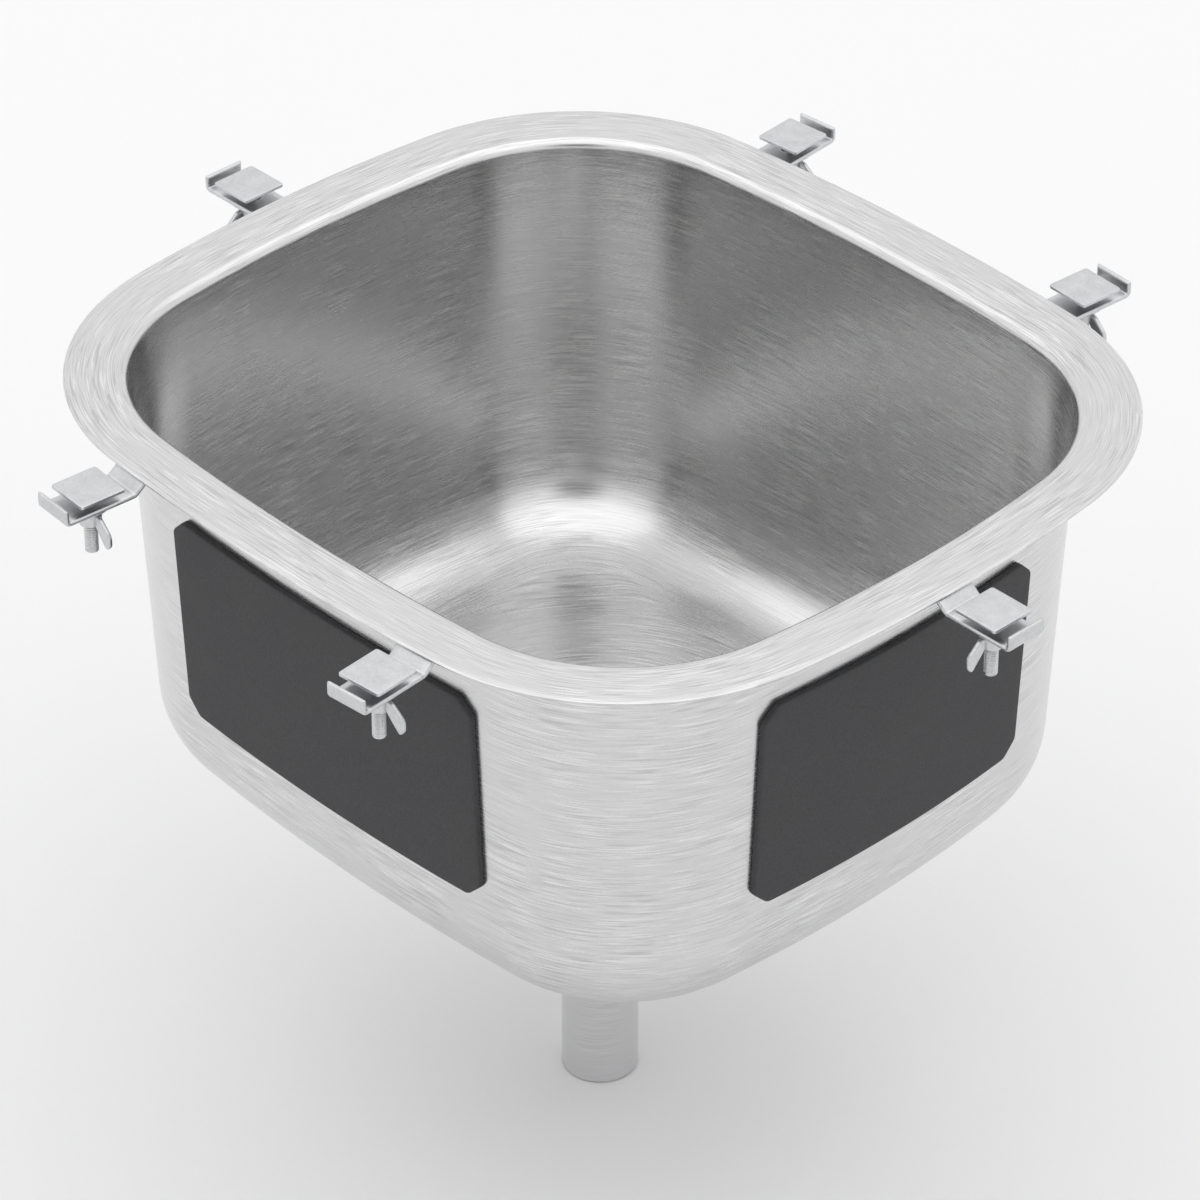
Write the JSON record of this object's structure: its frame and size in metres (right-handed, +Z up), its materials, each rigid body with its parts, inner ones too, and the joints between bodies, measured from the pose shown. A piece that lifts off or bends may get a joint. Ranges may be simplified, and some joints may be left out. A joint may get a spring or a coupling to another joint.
{
  "type": "undermount kitchen sink",
  "caption": "Single bowl undermount kitchen sink in brushed stainless steel with bowed sides, a lift-out basket strainer, a tailpiece and worktop clips.",
  "frame": {"origin": "centre of the bowl's mouth in the plane of the flange's top face, which is the underside of the worktop", "axes": "+Z up out of the mouth, +X along the longer side of the bowl"},
  "size_m": [0.5326, 0.4876, 0.4005],
  "materials": {
    "brushed_stainless": "satin brushed along the bowl's outline",
    "polished_stainless": "bright pressed stainless with turning marks",
    "pad_rubber": "matt, finely textured",
    "seal_rubber": "satin moulded",
    "fibre_board": "pressed fibre",
    "cast_zinc": "as-cast zinc alloy",
    "white_polyethylene": "translucent white moulded",
    "plated_tube": "bright plated",
    "plated_nut": "satin plated",
    "cast_brass": "cast and turned, dull",
    "bright_brass": "turned",
    "knob_plastic": "moulded",
    "zinc_plate": "bright zinc plated"
  },
  "bodies": {
    "sink": {"bowl": "brushed_stainless", "sound_pad_right": "pad_rubber", "sound_pad_left": "pad_rubber", "sound_pad_back": "pad_rubber", "sound_pad_front": "pad_rubber", "floor_pad_right": "pad_rubber", "floor_pad_left": "pad_rubber", "flange_gasket": "seal_rubber", "strainer_cup": "polished_stainless", "outlet_nipple": "cast_brass", "crosspiece": "cast_brass", "sealing_washer": "seal_rubber", "friction_washer": "fibre_board", "locknut": "cast_zinc", "tailpiece_washer": "white_polyethylene", "tailpiece": "plated_tube", "coupling_nut": "plated_nut", "anchor_studs": "zinc_plate", "clip_washers": "zinc_plate", "wing_nuts": "zinc_plate"},
    "basket": {"basket_cup": "polished_stainless", "basket_stopper": "seal_rubber", "stopper_nut": "bright_brass", "basket_post": "bright_brass", "basket_knob": "knob_plastic"},
    "clip_1": {"clip_1": "zinc_plate"},
    "clip_2": {"clip_2": "zinc_plate"},
    "clip_3": {"clip_3": "zinc_plate"},
    "clip_4": {"clip_4": "zinc_plate"},
    "clip_5": {"clip_5": "zinc_plate"},
    "clip_6": {"clip_6": "zinc_plate"}
  },
  "joints": [
    {"name": "basket_lift", "type": "slide", "parent": "sink", "child": "basket", "axis": [0, 0, 1], "range_m": [0, 0.09]},
    {"name": "clip_1_swivel", "type": "hinge", "parent": "sink", "child": "clip_1", "pos_m": [0.246, 0, -0.00725], "axis": [0, 0, 1], "range_deg": [-90, 90]},
    {"name": "clip_2_swivel", "type": "hinge", "parent": "sink", "child": "clip_2", "pos_m": [0.09658, 0.22276, -0.00725], "axis": [0, 0, 1], "range_deg": [-90, 90]},
    {"name": "clip_3_swivel", "type": "hinge", "parent": "sink", "child": "clip_3", "pos_m": [-0.09658, 0.22276, -0.00725], "axis": [0, 0, 1], "range_deg": [-90, 90]},
    {"name": "clip_4_swivel", "type": "hinge", "parent": "sink", "child": "clip_4", "pos_m": [-0.246, 0, -0.00725], "axis": [0, 0, 1], "range_deg": [-90, 90]},
    {"name": "clip_5_swivel", "type": "hinge", "parent": "sink", "child": "clip_5", "pos_m": [-0.09658, -0.22276, -0.00725], "axis": [0, 0, 1], "range_deg": [-90, 90]},
    {"name": "clip_6_swivel", "type": "hinge", "parent": "sink", "child": "clip_6", "pos_m": [0.09658, -0.22276, -0.00725], "axis": [0, 0, 1], "range_deg": [-90, 90]}
  ]
}
